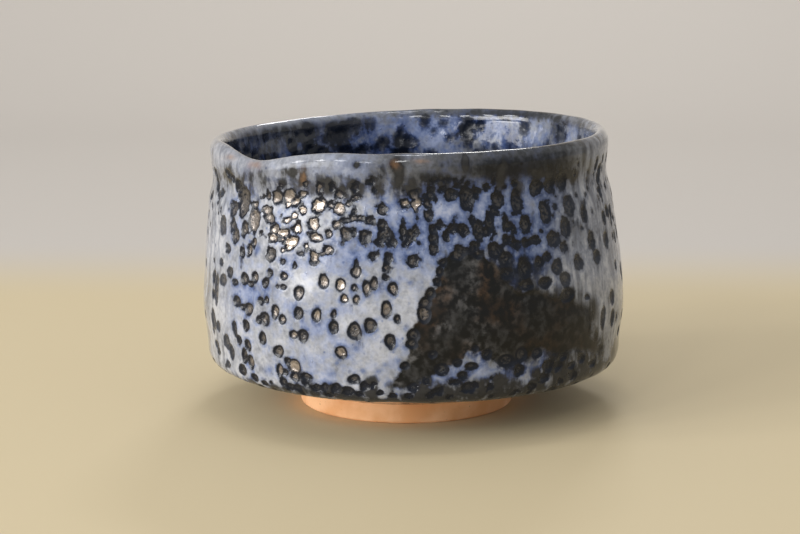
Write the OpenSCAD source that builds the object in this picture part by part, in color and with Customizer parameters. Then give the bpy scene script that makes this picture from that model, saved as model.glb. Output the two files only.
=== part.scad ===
// Matcha bowl: a hand-formed clay body on a turned foot ring, coated with iron slip and a pale glaze.
// It stands on the XY plane, +Z up, and the window in its glaze faces the front, -Y.
// Sizes are in millimetres and, unless they say otherwise, over the finished glaze.

/* [Body] */
// Largest outside diameter, at the belly
body_d = 120; // [106:1:140]
// Mean height of the lip crest above the table
bowl_h = 78; // [70:0.5:95]
// Height of the belly above the table
belly_z = 32; // [30:0.5:40]
// How far the wall above the hip stands inside the belly
hip_in = 1.1; // [0.5:0.1:5]
// Height of the hip, where the wall turns under
hip_z = 13; // [9:0.5:14]
// Length of the turn on each side of the hip
hip_round = 4; // [2:0.1:6]
// How far the shoulder stands inside the belly
shoulder_in = 2.9; // [1:0.1:6]
// Depth of the shoulder below the lip crest
shoulder_drop = 18.5; // [14:0.5:24]
// How far the drawn-in neck stands inside the belly
neck_in = 4.4; // [2:0.1:8]
// Depth of the neck below the lip crest
neck_drop = 11.5; // [8:0.5:13]
// How far the fullest part of the lip stands inside the belly
lip_in = 3.7; // [1:0.1:7]
// Depth of the fullest part of the lip below its crest
lip_drop = 3.6; // [2.6:0.1:4.2]

/* [Wall and floor] */
// Wall thickness at the belly
wall_t = 6; // [4.5:0.1:9]
// Wall thickness at the neck
neck_t = 5.2; // [4:0.1:8]
// Lip thickness
lip_t = 4.6; // [4.2:0.1:7]
// Floor thickness outside the tea pool
floor_t = 6.5; // [5.5:0.1:8.5]
// Radius of the round between the inside wall and the floor
inside_r = 17; // [10:0.5:19]
// Diameter of the tea pool in the floor
pool_d = 44; // [28:1:60]
// Depth of the tea pool
pool_depth = 1.2; // [0.4:0.1:2]

/* [Foot ring] */
// Outside diameter
foot_d = 61; // [48:0.5:74]
// Height
foot_h = 6; // [4:0.1:8]
// Width of the resting face with its rounded edges
foot_w = 6; // [4:0.1:9]
// Rounding of the two resting edges
foot_round = 0.8; // [0.3:0.1:1.5]
// How much wider the ring is at its top, on the inside
foot_draft = 1.2; // [0:0.1:2.5]
// How far the ring stands off the bowl's axis, to the left
foot_off = 2; // [0:0.1:4]
// Depth of the cone left in the middle of the recess
boss_h = 1.2; // [0.4:0.1:2.5]

/* [Coats] */
// Pale glaze thickness
glaze_t = 0.8; // [0.5:0.05:1]
// Iron slip thickness
slip_t = 0.3; // [0.2:0.05:0.4]
// Width of the clay left bare round the foot
bare_w = 2.4; // [1.5:0.1:5]
// How far the glaze line wanders either way
line_wave = 0.6; // [0:0.1:0.9]

/* [Hand-formed shape] */
// How far the lip stands above its mean height at the right, and below it at the left
lip_high = 1.5; // [0:0.1:3]
// Two slow waves round the lip
lip_wave = 0.45; // [0:0.05:1.5]
// Dip in the lip at the front left
lip_dip = 3; // [0:0.1:4]
// Lean of the lip to the left
lip_lean = 1.3; // [0:0.1:3]
// How far the wall is out of round
oval = 0.4; // [0:0.1:1.5]

/* [Window in the glaze] */
// Width
window_w = 49; // [30:1:54]
// Height
window_h = 33; // [20:1:38]
// Left edge, across from the axis
window_x = -4.5; // [-12:0.5:0]
// Lower edge above the table
window_z = 21; // [18:0.5:26]

/* [Hidden] */
$fn = 72;

turns = 58;
lip_steps = 5;
round_steps = 4;
edge_steps = 4;
window_steps = 4;
dip_angle = 222;
dip_spread_angle = 14;
high_angle = -18;
wave_angle = 59;
oval_angle = 30;
line_waves = 5;
seat_margin = 0.4;
boss_margin = 1;
window_reach = 10;

clay_colour = [0.72, 0.52, 0.36];
foot_colour = [0.80, 0.58, 0.40];
slip_colour = [0.17, 0.15, 0.13];
glaze_colour = [0.70, 0.72, 0.78];
lip_colour = [0.48, 0.45, 0.43];
inside_colour = [0.52, 0.57, 0.68];

coat_t = glaze_t + slip_t;
body_r = body_d / 2;
foot_r = foot_d / 2;
lip_r = body_r - lip_in;
floor_z = foot_h + floor_t;
inside_x = body_r - wall_t - inside_r;
lip_z = bowl_h - lip_drop;
neck_z = bowl_h - neck_drop;

// Window outline from its lower left corner, in shares of its width and height.
window_outline = [
  [0.00, 0.03], [0.05, 0.25], [0.10, 0.44], [0.15, 0.60], [0.22, 0.78], [0.30, 0.94], [0.42, 1.00],
  [0.60, 0.96], [0.80, 0.80], [0.93, 0.55], [1.00, 0.25], [0.92, 0.02], [0.62, 0.13], [0.32, 0.14],
  [0.14, 0.01]
];

function ease(t) = let (s = min(max(t, 0), 1)) s * s * (3 - 2 * s);

function hermite(p, q, m, n, t) =
  (2 * t^3 - 3 * t^2 + 1) * p + (t^3 - 2 * t^2 + t) * m + (3 * t^2 - 2 * t^3) * q + (t^3 - t^2) * n;

// Radius along a path of [radius, height] stations, upright at both of its ends.
function slope(path, i) =
  i == 0 || i == len(path) - 1 ? 0 : (path[i + 1][0] - path[i - 1][0]) / (path[i + 1][1] - path[i - 1][1]);

function station(path, i, t) =
  let (p = path[i], q = path[i + 1], rise = q[1] - p[1])
  [hermite(p[0], q[0], slope(path, i) * rise, slope(path, i + 1) * rise, t), p[1] + rise * t];

function along(path, steps) =
  [for (i = [0:len(path) - 2], k = [0:steps[i] - 1]) station(path, i, k / steps[i])];

// Smooth closed outline through a list of points.
function outline(p) =
  let (n = len(p))
  [for (i = [0:n - 1], k = [0:window_steps - 1])
    let (a = p[(i + n - 1) % n], b = p[i], c = p[(i + 1) % n], d = p[(i + 2) % n])
    hermite(b, c, (c - a) / 2, (d - b) / 2, k / window_steps)];

// Section of the finished bowl, from the glaze line under the hip, over the lip and down to the tea pool.
line_start = [foot_r + bare_w, foot_h];
hip = [body_r - hip_in, hip_z];
under = (hip - line_start) / norm(hip - line_start);
hip_from = hip - hip_round * under;
hip_to = hip + [0, hip_round];
outer_path = [
  hip_to, [body_r, belly_z], [body_r - shoulder_in, bowl_h - shoulder_drop],
  [body_r - neck_in, neck_z], [lip_r, lip_z]
];
inner_path = [
  [lip_r - lip_t, lip_z], [body_r - neck_in - neck_t, neck_z], [body_r - wall_t, belly_z],
  [body_r - wall_t, floor_z + inside_r]
];

hip_turn = [for (t = [0:1/3:0.9]) (1 - t)^2 * hip_from + 2 * t * (1 - t) * hip + t^2 * hip_to];
outer_rows = concat([line_start], hip_turn, along(outer_path, [2, 3, 2, 2]));
lip_rows = [for (k = [0:lip_steps - 1])
  let (a = 180 * k / lip_steps) [lip_r - lip_t / 2 * (1 - cos(a)), lip_z + lip_drop * sin(a)]];
wall_rows = along(inner_path, [2, 3, 1]);
round_rows = [for (k = [0:round_steps])
  let (a = 90 * k / round_steps) [inside_x + inside_r * cos(a), floor_z + inside_r * (1 - sin(a))]];
pool_rows = [[pool_d / 2, floor_z], [pool_d / 4, floor_z - pool_depth * 0.7], [0, floor_z - pool_depth]];

section = concat(outer_rows, lip_rows, wall_rows, round_rows, pool_rows);
at_line = 0;
at_lip = len(outer_rows);
at_inside = at_lip + lip_steps;
at_middle = len(section) - 1;

// Outward direction of the section at each of its rows.
function outward(i) =
  let (d = section[min(i + 1, at_middle)] - section[max(i - 1, 0)])
  i == at_middle ? [0, 1] : [d[1], -d[0]] / norm(d);

// Hand-formed shape: the lip rises and dips, the wall sways over the foot and goes a little out of round.
function off_by(a, b) = (a - b + 540) % 360 - 180;

function lip_rise(a) =
  lip_high * cos(a - high_angle)
  + lip_wave * cos(2 * (a - wave_angle))
  - lip_dip * exp(-(off_by(a, dip_angle) / dip_spread_angle)^2);

function lip_share(z) = ease((z - belly_z) / (lip_z - belly_z));

function foot_share(z) = 1 - ease((z - foot_h) / (hip_z - foot_h));

function sway(z) = -foot_off * foot_share(z) - lip_lean * lip_share(z);

function swell(a, z) = oval * ease((z - foot_h) / (belly_z - foot_h)) * cos(2 * (a - oval_angle)) / body_r;

function place(p, a) =
  let (r = p[0] * (1 + swell(a, p[1])))
  [sway(p[1]) + r * cos(a), r * sin(a), p[1] + lip_rise(a) * lip_share(p[1])];

function line_shift(i, a) = i == at_line ? line_wave * sin(line_waves * a) * under : [0, 0];

function ring(i, depth) = [for (k = [0:turns - 1])
  let (a = 360 * k / turns) place(section[i] - depth * outward(i) + line_shift(i, a), a)];

function middle(depth) = place(section[at_middle] - [0, depth], 0);

// Faces between rings of points: a band joins the ring that starts at p to the one that starts at q.
function next(k) = (k + 1) % turns;

function band(p, q) = [for (k = [0:turns - 1], half = [0, 1])
  half == 0 ? [p + k, q + next(k), p + next(k)] : [p + k, q + k, q + next(k)]];

function band_back(p, q) = [for (f = band(p, q)) [f[0], f[2], f[1]]];

function fan(p, tip) = [for (k = [0:turns - 1]) [p + k, tip, p + next(k)]];

function fan_back(p, tip) = [for (f = fan(p, tip)) [f[0], f[2], f[1]]];

// A coat over the rows from first to last, between two depths under the finished surface. Where the last
// row is the middle of the floor, both of its skins close to a point there.
module coat(first, last, top, bottom) {
  closes = last == at_middle;
  rows = last - first + (closes ? 0 : 1);
  count = rows * turns;
  end = count - turns;
  points = concat(
    [for (i = [first:first + rows - 1]) each ring(i, top)],
    [for (i = [first:first + rows - 1]) each ring(i, bottom)],
    closes ? [middle(top), middle(bottom)] : []
  );
  faces = concat(
    [for (j = [0:rows - 2]) each band(j * turns, (j + 1) * turns)],
    [for (j = [0:rows - 2]) each band_back(count + j * turns, count + (j + 1) * turns)],
    band_back(0, count),
    closes ? concat(fan(end, 2 * count), fan_back(count + end, 2 * count + 1)) : band(end, count + end)
  );
  polyhedron(points, faces);
}

module clay_body() {
  boss_r = foot_r - foot_w - foot_draft - boss_margin;
  seat_r = foot_r + seat_margin;
  flat_ring = function(r) [for (k = [0:turns - 1]) place([r, foot_h], 360 * k / turns)];
  points = concat(
    flat_ring(boss_r), flat_ring(seat_r),
    [for (i = [0:at_middle - 1]) each ring(i, coat_t)],
    [place([0, foot_h - boss_h], 0), middle(coat_t)]
  );
  rows = at_middle + 2;
  faces = concat(
    fan_back(0, rows * turns),
    [for (j = [0:rows - 2]) each band(j * turns, (j + 1) * turns)],
    fan((rows - 1) * turns, rows * turns + 1)
  );
  color(clay_colour) polyhedron(points, faces);
}

module foot_ring() {
  inner_r = foot_r - foot_w;
  corner = function(x, from) [for (k = [0:edge_steps])
    let (a = from + 90 * k / edge_steps) [x + foot_round * cos(a), foot_round * (1 + sin(a))]];
  color(foot_colour)
    translate([-foot_off, 0, 0])
      rotate_extrude()
        polygon(concat(
          corner(inner_r + foot_round, 180),
          corner(foot_r - foot_round, 270),
          [[foot_r, foot_h], [inner_r - foot_draft, foot_h]]
        ));
}

module iron_slip() {
  color(slip_colour) coat(at_line, at_lip, glaze_t, coat_t);
}

module outer_glaze() {
  color(glaze_colour)
    difference() {
      coat(at_line, at_lip, 0, glaze_t);
      translate([window_x, -window_reach, window_z])
        rotate([90, 0, 0])
          linear_extrude(body_r)
            polygon([for (p = outline(window_outline)) [p[0] * window_w, p[1] * window_h]]);
    }
}

module lip_glaze() {
  color(lip_colour) coat(at_lip, at_inside, 0, coat_t);
}

module inner_glaze() {
  color(inside_colour) coat(at_inside, at_middle, 0, coat_t);
}

clay_body();
foot_ring();
iron_slip();
outer_glaze();
lip_glaze();
inner_glaze();
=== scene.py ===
# Looks of a hand-formed matcha bowl: a pitted pale blue glaze over dark iron slip, on a bare clay foot.
# Sizes are in millimetres until a mesh is made. The bowl stands on z = 0 and its front faces -Y.
import math
from collections import namedtuple

import bmesh
import bpy
import numpy as np
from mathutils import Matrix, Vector


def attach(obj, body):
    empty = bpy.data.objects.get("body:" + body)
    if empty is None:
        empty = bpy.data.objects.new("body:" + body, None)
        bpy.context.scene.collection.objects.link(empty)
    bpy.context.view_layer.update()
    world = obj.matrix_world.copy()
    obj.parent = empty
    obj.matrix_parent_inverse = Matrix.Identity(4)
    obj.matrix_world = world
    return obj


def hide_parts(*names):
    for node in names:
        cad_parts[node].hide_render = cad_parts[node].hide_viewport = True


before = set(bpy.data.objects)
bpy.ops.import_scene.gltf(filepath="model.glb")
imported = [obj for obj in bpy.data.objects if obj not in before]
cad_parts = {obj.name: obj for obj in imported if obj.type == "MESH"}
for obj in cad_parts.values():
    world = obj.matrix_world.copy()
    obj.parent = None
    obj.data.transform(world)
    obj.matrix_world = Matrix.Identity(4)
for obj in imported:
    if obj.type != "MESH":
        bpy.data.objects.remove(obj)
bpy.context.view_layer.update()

MM = 0.001
TOUCHING = MM * MM
FULL_TURN = 2 * math.pi
FRONT = -math.pi / 2

# The photograph's frame, and the camera that took it
PHOTO_W = 800
PHOTO_H = 534
SENSOR_W = 36.0
FOCAL_PX = 2199.3
CAMERA_AT = np.array([0.0, -620.0, 155.0])
CAMERA_PITCH = math.radians(10.649)
CAMERA_YAW = math.radians(0.362)

# Body, over the finished glaze
BODY_R = 60.0
BOWL_H = 78.0
BELLY_Z = 32.0
HIP_IN = 1.1
HIP_Z = 13.0
HIP_ROUND = 4.0
SHOULDER_IN = 2.9
SHOULDER_DROP = 18.5
NECK_IN = 4.4
NECK_DROP = 11.5
LIP_IN = 3.7
LIP_DROP = 3.6
WALL_T = 6.0
NECK_T = 5.2
LIP_T = 4.6
FLOOR_T = 6.5
INSIDE_R = 17.0
POOL_R = 22.0
POOL_DEPTH = 1.2
POOL_STEEP = 1.3

# Foot ring and the clay left bare round it
FOOT_R = 30.5
FOOT_H = 6.0
FOOT_W = 6.0
FOOT_ROUND = 0.8
FOOT_DRAFT = 1.2
FOOT_OFF = 2.0
BOSS_H = 1.2
BARE_W = 2.4
LINE_WAVE = 0.5
LINE_WAVES = 5
LINE_FADE_W = 8

# Coats
COAT_T = 1.1

# Hand-formed shape
LIP_HIGH = 1.5
LIP_WAVE = 0.45
LIP_DIP = 3.0
LIP_LEAN = 1.3
OVAL = 0.4
DIP_ANGLE = math.radians(222)
DIP_SPREAD = math.radians(14)
HIGH_ANGLE = math.radians(-18)
WAVE_ANGLE = math.radians(59)
OVAL_ANGLE = math.radians(30)

# How finely the pieces are turned
CURVE_STEPS = 24
TURN_STEPS = 75
TURN_CUTS = 7
CLAY_STEPS = 120
FOOT_ROUND_STEPS = 7
FOOT_SIDE_STEPS = 12
FRONT_CLOSER = 0.25
OUTSIDE_STEP = 0.6
LIP_STEP = 0.5
INSIDE_STEP = 0.78
BACK_STEP = 3.0

LIP_Z = BOWL_H - LIP_DROP
LIP_R = BODY_R - LIP_IN
NECK_Z = BOWL_H - NECK_DROP
FLOOR_Z = FOOT_H + FLOOR_T


# Section of the bowl

def ease(t):
    s = np.clip(t, 0, 1)
    return s * s * (3 - 2 * s)


def fade_in(value, start, width):
    """Eases from 0 at a start to 1 a width farther on."""
    return ease((value - start) / width)


def fade_out(value, start, width):
    return 1 - fade_in(value, start, width)


def wall_curve(stations):
    """Points of a wall through (radius, height) stations, upright at both of its ends."""
    radius, height = np.array(stations).T
    slope = np.zeros(len(radius))
    slope[1:-1] = (radius[2:] - radius[:-2]) / (height[2:] - height[:-2])
    t = np.linspace(0, 1, CURVE_STEPS, endpoint=False)
    runs = []
    for i, rise in enumerate(np.diff(height)):
        r = (
            (2 * t**3 - 3 * t**2 + 1) * radius[i]
            + (t**3 - 2 * t**2 + t) * slope[i] * rise
            + (3 * t**2 - 2 * t**3) * radius[i + 1]
            + (t**3 - t**2) * slope[i + 1] * rise
        )
        runs.append(np.stack([r, height[i] + rise * t], 1))
    return np.concatenate(runs)


def bowl_section():
    """Section from the middle of the foot's recess, over the lip and down to the middle of the floor."""
    boss_r = FOOT_R - FOOT_W - FOOT_DRAFT
    line = np.array([FOOT_R + BARE_W, FOOT_H])
    hip = np.array([BODY_R - HIP_IN, HIP_Z])
    under = (hip - line) / np.linalg.norm(hip - line)
    hip_to = hip + [0, HIP_ROUND]
    t = np.linspace(0, 1, CURVE_STEPS, endpoint=False)[:, None]
    hip_turn = (1 - t) ** 2 * (hip - HIP_ROUND * under) + 2 * t * (1 - t) * hip + t**2 * hip_to
    wall = wall_curve([
        hip_to, (BODY_R, BELLY_Z), (BODY_R - SHOULDER_IN, BOWL_H - SHOULDER_DROP),
        (BODY_R - NECK_IN, NECK_Z), (LIP_R, LIP_Z),
    ])
    a = np.linspace(0, math.pi, 2 * CURVE_STEPS, endpoint=False)
    lip = np.stack([LIP_R - LIP_T / 2 * (1 - np.cos(a)), LIP_Z + LIP_DROP * np.sin(a)], 1)
    inside = wall_curve([
        (LIP_R - LIP_T, LIP_Z), (BODY_R - NECK_IN - NECK_T, NECK_Z), (BODY_R - WALL_T, BELLY_Z),
        (BODY_R - WALL_T, FLOOR_Z + INSIDE_R),
    ])
    a = np.linspace(0, math.pi / 2, CURVE_STEPS)
    bend = np.stack([
        BODY_R - WALL_T - INSIDE_R * (1 - np.cos(a)), FLOOR_Z + INSIDE_R * (1 - np.sin(a)),
    ], 1)
    share = np.linspace(1, 0, CURVE_STEPS)
    pool = np.stack([POOL_R * share, FLOOR_Z - POOL_DEPTH * ease(POOL_STEEP * (1 - share))], 1)
    recess = np.array([(0, FOOT_H - BOSS_H), (boss_r, FOOT_H)])
    parts = [recess, [line], hip_turn, wall, lip, inside, bend, pool]
    starts = np.cumsum([0] + [len(p) for p in parts])
    points = np.concatenate(parts)
    along = np.concatenate([[0], np.cumsum(np.linalg.norm(np.diff(points, axis=0), axis=1))])
    return points, along, along[starts[1]], along[starts[4]], along[starts[5]]


SECTION, SECTION_ALONG, AT_LINE, AT_LIP, AT_INSIDE = bowl_section()
AT_CREST = (AT_LIP + AT_INSIDE) / 2
AT_MIDDLE = SECTION_ALONG[-1]
NORMAL_REACH = 0.4
ON_AXIS_R = 0.001


def section_at(along, depth):
    """Radius and height of the section at distances along it, at a depth under the finished face."""
    def point(s):
        return np.interp(s, SECTION_ALONG, SECTION[:, 0]), np.interp(s, SECTION_ALONG, SECTION[:, 1])

    r, z = point(along)
    r_on, z_on = point(np.minimum(along + NORMAL_REACH, AT_MIDDLE))
    r_back, z_back = point(np.maximum(along - NORMAL_REACH, 0))
    length = np.hypot(r_on - r_back, z_on - z_back)
    inner = r - depth * (z_on - z_back) / length
    return np.where(r < ON_AXIS_R, r, inner), z + depth * (r_on - r_back) / length


def off_by(a, b):
    return (a - b + math.pi) % FULL_TURN - math.pi


def lip_rise(angle):
    dip = off_by(angle, DIP_ANGLE) / DIP_SPREAD
    return (
        LIP_HIGH * np.cos(angle - HIGH_ANGLE)
        + LIP_WAVE * np.cos(2 * (angle - WAVE_ANGLE))
        - LIP_DIP * np.exp(-(dip**2))
    )


def formed(along, angle, depth):
    """Points of the hand-formed bowl: its lip rises and dips, and its wall sways and is out of round."""
    r, z = section_at(along, depth)
    lip = ease((z - BELLY_Z) / (LIP_Z - BELLY_Z))
    foot = 1 - ease((z - FOOT_H) / (HIP_Z - FOOT_H))
    swell = OVAL * ease((z - FOOT_H) / (BELLY_Z - FOOT_H)) * np.cos(2 * (angle - OVAL_ANGLE)) / BODY_R
    r = r * (1 + swell)
    x = r * np.cos(angle) - FOOT_OFF * foot - LIP_LEAN * lip
    return np.stack([x, r * np.sin(angle), z + lip_rise(angle) * lip], 1)


# The photograph's view of a point

def camera_axes():
    forward = np.array([
        -math.sin(CAMERA_YAW) * math.cos(CAMERA_PITCH),
        math.cos(CAMERA_YAW) * math.cos(CAMERA_PITCH),
        -math.sin(CAMERA_PITCH),
    ])
    right = np.array([math.cos(CAMERA_YAW), math.sin(CAMERA_YAW), 0.0])
    return forward, right, np.cross(right, forward)


def in_photo(points):
    """Pixels of the photograph at which points are seen."""
    forward, right, up = camera_axes()
    ray = points - CAMERA_AT
    deep = ray @ forward
    x = PHOTO_W / 2 + FOCAL_PX * (ray @ right) / deep
    y = PHOTO_H / 2 - FOCAL_PX * (ray @ up) / deep
    return np.stack([x, y], 1), FOCAL_PX / deep


# Coats turned on the section

def spin_round(bm, ring, edges, steps):
    """Turns a section once round the bowl's axis."""
    bmesh.ops.spin(
        bm, geom=ring + edges, cent=(0, 0, 0), axis=(0, 0, 1), angle=FULL_TURN, steps=steps,
        use_merge=True,
    )
    bmesh.ops.remove_doubles(bm, verts=bm.verts, dist=TOUCHING)


def put_in_scene(name, data):
    made = bpy.data.objects.new(name, data)
    bpy.context.scene.collection.objects.link(made)
    return made


class Coat:
    """A closed skin turned on the section, which remembers where each of its points lies on it."""

    def __init__(self, name, loop, steps, cuts):
        bm = bmesh.new()
        along = bm.verts.layers.float.new("along")
        depth = bm.verts.layers.float.new("depth")
        ring = []
        for s, d in loop:
            r, z = section_at(s, d)
            vert = bm.verts.new((r * MM, 0, z * MM))
            vert[along] = s
            vert[depth] = d
            ring.append(vert)
        pairs = [p for p in zip(ring, ring[1:] + ring[:1]) if p[0].co.x + p[1].co.x > TOUCHING]
        edges = [bm.edges.new(p) for p in pairs]
        spin_round(bm, ring, edges, steps)
        shown = [
            e for e in bm.edges
            if e.verts[0][along] == e.verts[1][along] and e.verts[0][depth] == 0 and e.verts[1][depth] == 0
        ]
        if cuts:
            bmesh.ops.subdivide_edges(bm, edges=shown, cuts=cuts, use_grid_fill=True)
        bmesh.ops.recalc_face_normals(bm, faces=bm.faces)
        for edge in bm.edges:
            ends = [any(v[depth] > 0 for v in face.verts) for face in edge.link_faces]
            edge.smooth = not (any(ends) and not all(ends))
        self.mesh = bpy.data.meshes.new(name)
        bm.to_mesh(self.mesh)
        bm.free()
        points = self.read("position", "vector", 3)
        phi = off_by(np.arctan2(points[:, 1], points[:, 0]), FRONT)
        self.angle = FRONT + phi - FRONT_CLOSER * np.sin(phi)
        self.along = self.read("along", "value", 1)
        self.depth = self.read("depth", "value", 1)
        self.smooth = formed(self.along, self.angle, self.depth)
        self.radius = np.hypot(self.smooth[:, 0], self.smooth[:, 1])
        self.seen, self.px_per_mm = in_photo(self.smooth)
        self.mesh.vertices.foreach_set("co", (self.smooth * MM).ravel())
        self.mesh.update()
        normals = np.zeros(len(self.smooth) * 3, np.float32)
        self.mesh.vertex_normals.foreach_get("vector", normals)
        to_camera = CAMERA_AT - self.smooth
        to_camera /= np.linalg.norm(to_camera, axis=1)[:, None]
        self.facing = (normals.reshape(-1, 3) * to_camera).sum(1)
        self.facing[self.depth > 0] = -1

    def read(self, name, kind, width):
        values = np.zeros(len(self.mesh.vertices) * width, np.float32)
        self.mesh.attributes[name].data.foreach_get(kind, values)
        return values.reshape(-1, width).astype(float) if width > 1 else values.astype(float)

    def mark(self, name, values):
        layer = self.mesh.attributes.new(name, "FLOAT", "POINT")
        layer.data.foreach_set("value", np.asarray(values, np.float32))

    def lay(self, relief, finish):
        """The finished piece, with its face raised by relief."""
        points = formed(self.along, self.angle, self.depth - relief * (self.depth == 0))
        self.mesh.vertices.foreach_set("co", (points * MM).ravel())
        self.mesh.update()
        self.mesh.polygons.foreach_set("use_smooth", np.ones(len(self.mesh.polygons), bool))
        self.mesh.materials.append(finish)
        return put_in_scene(self.mesh.name, self.mesh)


def rows(start, end, step):
    return np.linspace(start, end, max(2, round(abs(end - start) / step) + 1))


def coat_loop(start, end, step):
    """Stations of a coat: its finished face, and its back on the clay."""
    face = [(s, 0.0) for s in rows(start, end, step)]
    back = [(s, COAT_T) for s in rows(end, start, BACK_STEP)]
    return face + back


# Marks in the glaze, as the photograph shows them: across, down, width and height in its pixels

PITS_LEFT = [
    (228, 248, 5, 10), (242, 252, 5, 12), (250, 250, 5, 13), (270, 254, 8, 17), (282, 250, 5, 4),
    (282, 262, 5, 6), (295, 265, 4, 6), (301, 253, 8, 6), (223, 279, 6, 11),
    (230, 273, 5, 11), (235, 283, 6, 7), (244, 278, 7, 12), (250, 284, 7, 6), (255, 278, 6, 12),
    (265, 283, 6, 11), (270, 273, 5, 8), (283, 277, 6, 8), (283, 287, 9, 5), (277, 286, 3, 4),
    (299, 292, 9, 14), (237, 301, 6, 11), (242, 307, 5, 6), (248, 310, 7, 13), (260, 301, 5, 7),
    (267, 299, 4, 7), (275, 312, 7, 13), (298, 312, 8, 12), (317, 316, 8, 13), (264, 318, 9, 13),
    (259, 320, 5, 8), (283, 320, 6, 9), (245, 326, 6, 11), (262, 339, 6, 12), (294, 335, 8, 8),
    (303, 335, 9, 13), (278, 351, 9, 12), (287, 362, 6, 8), (295, 366, 11, 15), (280, 370, 6, 12),
    (285, 372, 5, 6), (294, 378, 11, 7), (283, 382, 6, 10), (290, 387, 7, 8), (297, 388, 8, 8),
    (306, 377, 12, 8), (306, 384, 6, 7), (316, 389, 10, 9), (324, 388, 7, 9), (216, 290, 3, 30),
    (221, 263, 3, 8), (213, 320, 3, 20), (218, 326, 3, 10), (226, 342, 5, 14), (235, 328, 4, 14),
    (239, 340, 4, 10), (247, 345, 5, 11), (217, 344, 4, 7), (219, 351, 4, 6), (231, 352, 4, 14),
    (245, 356, 5, 14), (242, 370, 6, 11), (228, 365, 8, 6), (251, 363, 5, 14), (255, 377, 5, 8),
    (265, 384, 12, 6), (275, 389, 12, 5),
]
PITS_MIDDLE = [
    (324, 281, 9, 14), (341, 286, 9, 13), (355, 265, 5, 9), (355, 272, 9, 12),
    (354, 287, 6, 7), (344, 299, 7, 9), (356, 300, 6, 8), (334, 315, 5, 9), (333, 327, 9, 12),
    (354, 331, 12, 17), (371, 326, 12, 13), (386, 309, 10, 15), (398, 319, 6, 9), (391, 342, 10, 14),
    (340, 353, 10, 12), (367, 289, 8, 14), (374, 285, 8, 11), (394, 288, 9, 12), (386, 277, 6, 6),
    (388, 258, 9, 11), (387, 268, 8, 8), (373, 257, 9, 8), (413, 262, 11, 12), (379, 243, 8, 8),
    (389, 243, 6, 6), (366, 242, 7, 7), (405, 244, 7, 6), (354, 379, 11, 9), (335, 388, 10, 10),
    (347, 393, 12, 10), (365, 387, 10, 9), (380, 393, 8, 5), (373, 386, 6, 6), (360, 394, 10, 6),
    (328, 396, 10, 5), (392, 397, 12, 5), (408, 397, 12, 5),
]
PITS_UPPER_LEFT = [
    (227, 174, 6, 6), (233, 178, 6, 6), (238, 184, 6, 7), (239, 190, 5, 7), (245, 203, 8, 28),
    (240, 200, 3, 14), (234, 208, 6, 14), (235, 235, 6, 14), (232, 225, 4, 12), (223, 225, 5, 16),
    (244, 230, 5, 16), (254, 221, 9, 22), (253, 243, 4, 8), (255, 205, 4, 8), (267, 211, 7, 12),
    (270, 220, 7, 11), (275, 229, 8, 10), (273, 238, 8, 9), (283, 233, 11, 8), (291, 242, 14, 9),
    (289, 249, 9, 6), (281, 240, 6, 6), (277, 198, 8, 13), (268, 197, 5, 5), (262, 196, 4, 4),
    (289, 197, 11, 11), (296, 202, 9, 8), (303, 195, 8, 6), (288, 204, 9, 5), (287, 221, 8, 5),
    (295, 216, 8, 5), (303, 210, 7, 7), (297, 229, 9, 11), (312, 224, 11, 12), (316, 238, 11, 8),
    (328, 250, 9, 8), (314, 257, 8, 12), (321, 254, 8, 4), (281, 187, 5, 5), (306, 246, 5, 5),
]
PITS_UPPER_MIDDLE = [
    (319, 206, 12, 13), (330, 205, 12, 6), (339, 208, 10, 11), (348, 203, 9, 5), (356, 198, 11, 5),
    (340, 194, 7, 7), (320, 188, 6, 8), (332, 187, 5, 8), (355, 187, 6, 10), (371, 182, 5, 8),
    (329, 233, 6, 8), (337, 225, 8, 6), (345, 220, 9, 6), (353, 218, 9, 6), (361, 218, 9, 6),
    (370, 220, 9, 6), (345, 234, 9, 11), (353, 231, 6, 8), (364, 238, 8, 11), (382, 209, 9, 10),
    (383, 225, 9, 9), (384, 234, 10, 14), (391, 242, 7, 9), (404, 205, 9, 9), (416, 204, 8, 9),
    (414, 194, 7, 10), (404, 232, 7, 14), (411, 238, 9, 12), (416, 231, 6, 10), (516, 202, 9, 20),
    (514, 183, 4, 8),
]
PITS_UPPER_RIGHT = [
    (431, 193, 9, 14), (427, 203, 8, 10), (429, 215, 9, 11), (434, 184, 4, 6), (450, 195, 12, 14),
    (468, 198, 14, 22), (477, 192, 6, 10), (468, 185, 4, 6), (486, 188, 6, 8), (473, 220, 8, 8),
    (478, 230, 12, 20), (490, 222, 8, 20), (487, 232, 10, 10), (498, 200, 12, 14), (493, 211, 6, 8),
    (497, 213, 8, 6), (505, 220, 6, 6), (509, 226, 10, 12), (515, 231, 6, 8), (526, 224, 12, 14),
    (432, 230, 8, 10), (440, 226, 10, 8), (446, 236, 8, 10), (433, 240, 8, 12), (433, 250, 10, 10),
    (452, 230, 10, 10), (463, 230, 12, 12), (462, 250, 14, 10), (475, 248, 10, 10), (478, 254, 8, 8),
    (495, 250, 14, 14), (507, 240, 8, 10), (516, 245, 8, 10), (527, 244, 8, 8), (443, 190, 8, 6),
    (458, 187, 10, 6), (432, 180, 4, 4), (438, 181, 4, 4), (444, 180, 4, 4), (450, 181, 4, 4),
    (456, 180, 4, 4), (462, 181, 3, 4),
]
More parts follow.
